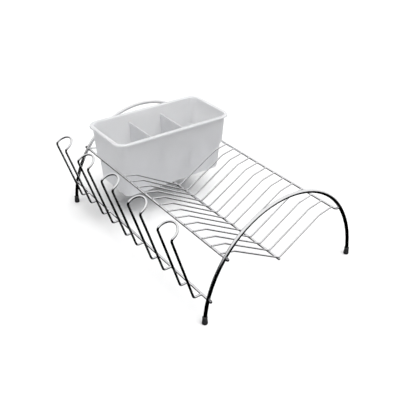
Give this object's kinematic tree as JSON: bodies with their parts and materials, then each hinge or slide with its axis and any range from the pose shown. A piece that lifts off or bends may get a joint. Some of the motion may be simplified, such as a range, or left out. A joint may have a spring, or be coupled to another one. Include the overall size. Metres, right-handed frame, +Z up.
{
  "type": "dish drying rack",
  "caption": "Chrome wire dish rack between two bent arches, with plate wires, a row of cup holders and a lift-out cutlery caddy.",
  "frame": {"origin": "middle of the whole footprint, on the floor", "axes": "+X along the rails towards the arch away from the caddy, +Y across the rack away from the cup holders, +Z up"},
  "size_m": [0.4782, 0.3867, 0.1901],
  "materials": {
    "arch_rod": "polished chrome plate",
    "rail_rod": "polished chrome plate",
    "plate_wire": "polished chrome plate",
    "cup_wire": "polished chrome plate",
    "cap_nut": "polished chrome plate",
    "foot_rubber": "matt black moulded rubber",
    "caddy_plastic": "satin white moulded plastic"
  },
  "bodies": {
    "rack": {"near_arch": "arch_rod", "far_arch": "arch_rod", "near_left_foot": "foot_rubber", "near_right_foot": "foot_rubber", "far_left_foot": "foot_rubber", "far_right_foot": "foot_rubber", "left_rail": "rail_rod", "cup_rail": "rail_rod", "hook_rail": "rail_rod", "spine_rail": "rail_rod", "left_rail_near_nut": "cap_nut", "left_rail_far_nut": "cap_nut", "cup_rail_near_nut": "cap_nut", "cup_rail_far_nut": "cap_nut", "plate_wire_01": "plate_wire", "plate_wire_02": "plate_wire", "plate_wire_03": "plate_wire", "plate_wire_04": "plate_wire", "plate_wire_05": "plate_wire", "plate_wire_06": "plate_wire", "plate_wire_07": "plate_wire", "plate_wire_08": "plate_wire", "plate_wire_09": "plate_wire", "plate_wire_10": "plate_wire", "plate_wire_11": "plate_wire", "plate_wire_12": "plate_wire", "plate_wire_13": "plate_wire", "far_plate_wire": "plate_wire", "cup_holder_1": "cup_wire", "cup_holder_2": "cup_wire", "cup_holder_3": "cup_wire", "cup_holder_4": "cup_wire", "cup_holder_5": "cup_wire"},
    "caddy": {"cutlery_caddy": "caddy_plastic"}
  },
  "joints": [
    {"name": "caddy_lift", "type": "slide", "parent": "rack", "child": "caddy", "axis": [0, 0, 1], "range_m": [0, 0.15]}
  ]
}
